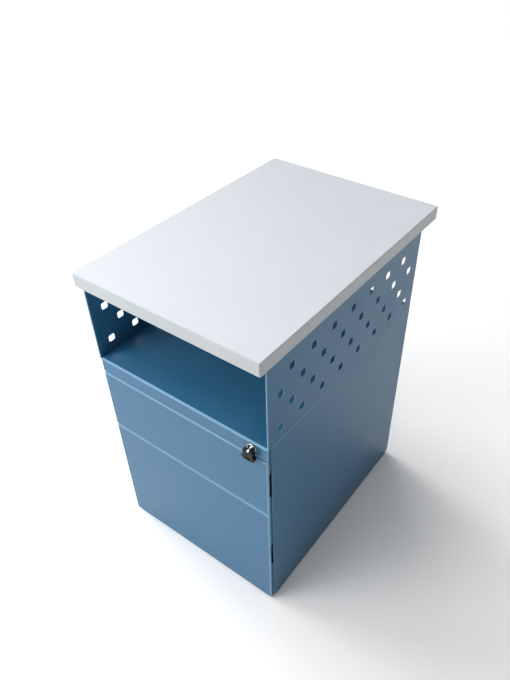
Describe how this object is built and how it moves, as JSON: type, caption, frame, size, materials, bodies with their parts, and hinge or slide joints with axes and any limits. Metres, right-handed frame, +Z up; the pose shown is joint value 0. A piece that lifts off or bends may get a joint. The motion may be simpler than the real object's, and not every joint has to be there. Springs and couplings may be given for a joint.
{
  "type": "desk pedestal",
  "caption": "Sheet-steel desk pedestal: sliding drawers under an open niche with perforated sides and a laminate top, locked by a bar that a folding key turns.",
  "frame": {"origin": "on the ground, at the plan centre of the top board", "axes": "+Z up; the front faces -Y; +X is to the right seen from the front"},
  "size_m": [0.42, 0.608, 0.703],
  "materials": {
    "blue_powder_coat": "semi-gloss powder coat on sheet steel",
    "white_laminate": "white melamine laminate on chipboard",
    "white_edge_band": "white plastic edge band",
    "zinc_plate": "zinc-plated steel",
    "slide_steel": "bright zinc-plated slide steel",
    "brass": "turned brass",
    "lock_chrome": "bright nickel-chrome plate",
    "key_plastic": "black moulded plastic",
    "black_plastic": "black moulded plastic"
  },
  "bodies": {
    "cabinet": {"top_board": "white_laminate", "edge_band": "white_edge_band", "board_inserts": "brass", "board_screws": "zinc_plate", "left_niche_panel": "blue_powder_coat", "right_niche_panel": "blue_powder_coat", "niche_floor": "blue_powder_coat", "shell_screws": "zinc_plate", "left_side_panel": "blue_powder_coat", "right_side_panel": "blue_powder_coat", "rear_panel": "blue_powder_coat", "base_panel": "blue_powder_coat", "lock_rail": "blue_powder_coat", "left_front_post": "zinc_plate", "left_rear_post": "zinc_plate", "right_front_post": "zinc_plate", "right_rear_post": "zinc_plate", "foot_brackets": "zinc_plate", "slide_screws": "zinc_plate", "lock_barrel": "lock_chrome", "lock_nut": "zinc_plate", "bar_guides": "zinc_plate", "upper_left_outer_slide": "slide_steel", "upper_right_outer_slide": "slide_steel", "lower_left_outer_slide": "slide_steel", "lower_right_outer_slide": "slide_steel"},
    "front_left_foot": {"front_left_foot_pad": "black_plastic", "front_left_foot_stud": "zinc_plate"},
    "front_right_foot": {"front_right_foot_pad": "black_plastic", "front_right_foot_stud": "zinc_plate"},
    "rear_left_foot": {"rear_left_foot_pad": "black_plastic", "rear_left_foot_stud": "zinc_plate"},
    "rear_right_foot": {"rear_right_foot_pad": "black_plastic", "rear_right_foot_stud": "zinc_plate"},
    "upper_drawer": {"upper_drawer_front": "blue_powder_coat", "upper_drawer_box": "blue_powder_coat", "upper_drawer_back": "blue_powder_coat", "upper_drawer_screws": "zinc_plate", "upper_latch_stud": "zinc_plate", "upper_left_inner_slide": "slide_steel", "upper_right_inner_slide": "slide_steel"},
    "lower_drawer": {"lower_drawer_front": "blue_powder_coat", "lower_drawer_box": "blue_powder_coat", "lower_drawer_back": "blue_powder_coat", "lower_drawer_screws": "zinc_plate", "lower_latch_stud": "zinc_plate", "lower_left_inner_slide": "slide_steel", "lower_right_inner_slide": "slide_steel"},
    "upper_left_middle": {"upper_left_middle_slide": "slide_steel"},
    "upper_right_middle": {"upper_right_middle_slide": "slide_steel"},
    "lower_left_middle": {"lower_left_middle_slide": "slide_steel"},
    "lower_right_middle": {"lower_right_middle_slide": "slide_steel"},
    "plug": {"lock_plug": "lock_chrome", "lock_cam": "zinc_plate", "cam_screw": "zinc_plate"},
    "bar": {"lock_bar": "zinc_plate"},
    "key": {"key_blade": "lock_chrome", "key_pin": "lock_chrome"},
    "key_head": {"key_head": "key_plastic"}
  },
  "joints": [
    {"name": "upper_drawer_slide", "type": "slide", "parent": "cabinet", "child": "upper_drawer", "axis": [0, -1, 0], "range_m": [0, 0.43]},
    {"name": "upper_left_middle_slide_run", "type": "slide", "parent": "cabinet", "child": "upper_left_middle", "axis": [0, -1, 0], "range_m": [0, 0.215]},
    {"name": "upper_right_middle_slide_run", "type": "slide", "parent": "cabinet", "child": "upper_right_middle", "axis": [0, -1, 0], "range_m": [0, 0.215]},
    {"name": "lower_drawer_slide", "type": "slide", "parent": "cabinet", "child": "lower_drawer", "axis": [0, -1, 0], "range_m": [0, 0.43]},
    {"name": "lower_left_middle_slide_run", "type": "slide", "parent": "cabinet", "child": "lower_left_middle", "axis": [0, -1, 0], "range_m": [0, 0.215]},
    {"name": "lower_right_middle_slide_run", "type": "slide", "parent": "cabinet", "child": "lower_right_middle", "axis": [0, -1, 0], "range_m": [0, 0.215]},
    {"name": "lock_bar_drop", "type": "slide", "parent": "cabinet", "child": "bar", "axis": [0, 0, -1], "range_m": [0, 0.0099]},
    {"name": "lock_turn", "type": "hinge", "parent": "cabinet", "child": "plug", "pos_m": [0.174, -0.275, 0.4805], "axis": [0, 1, 0], "range_deg": [0, 90]},
    {"name": "key_pull", "type": "slide", "parent": "plug", "child": "key", "axis": [0, -1, 0], "range_m": [0, 0.022]},
    {"name": "key_fold", "type": "hinge", "parent": "key", "child": "key_head", "pos_m": [0.174, -0.298, 0.4805], "axis": [-1, 0, 0], "range_deg": [0, 180]},
    {"name": "front_left_foot_screw", "type": "slide", "parent": "cabinet", "child": "front_left_foot", "axis": [0, 0, -1], "range_m": [0, 0.01]},
    {"name": "front_right_foot_screw", "type": "slide", "parent": "cabinet", "child": "front_right_foot", "axis": [0, 0, -1], "range_m": [0, 0.01]},
    {"name": "rear_left_foot_screw", "type": "slide", "parent": "cabinet", "child": "rear_left_foot", "axis": [0, 0, -1], "range_m": [0, 0.01]},
    {"name": "rear_right_foot_screw", "type": "slide", "parent": "cabinet", "child": "rear_right_foot", "axis": [0, 0, -1], "range_m": [0, 0.01]}
  ],
  "couplings": [
    {"joint": "upper_left_middle_slide_run", "follows": "upper_drawer_slide", "ratio": 0.5},
    {"joint": "upper_right_middle_slide_run", "follows": "upper_drawer_slide", "ratio": 0.5},
    {"joint": "lower_left_middle_slide_run", "follows": "lower_drawer_slide", "ratio": 0.5},
    {"joint": "lower_right_middle_slide_run", "follows": "lower_drawer_slide", "ratio": 0.5},
    {"joint": "lock_turn", "follows": "lock_bar_drop", "rad_per_m": 158.66}
  ]
}
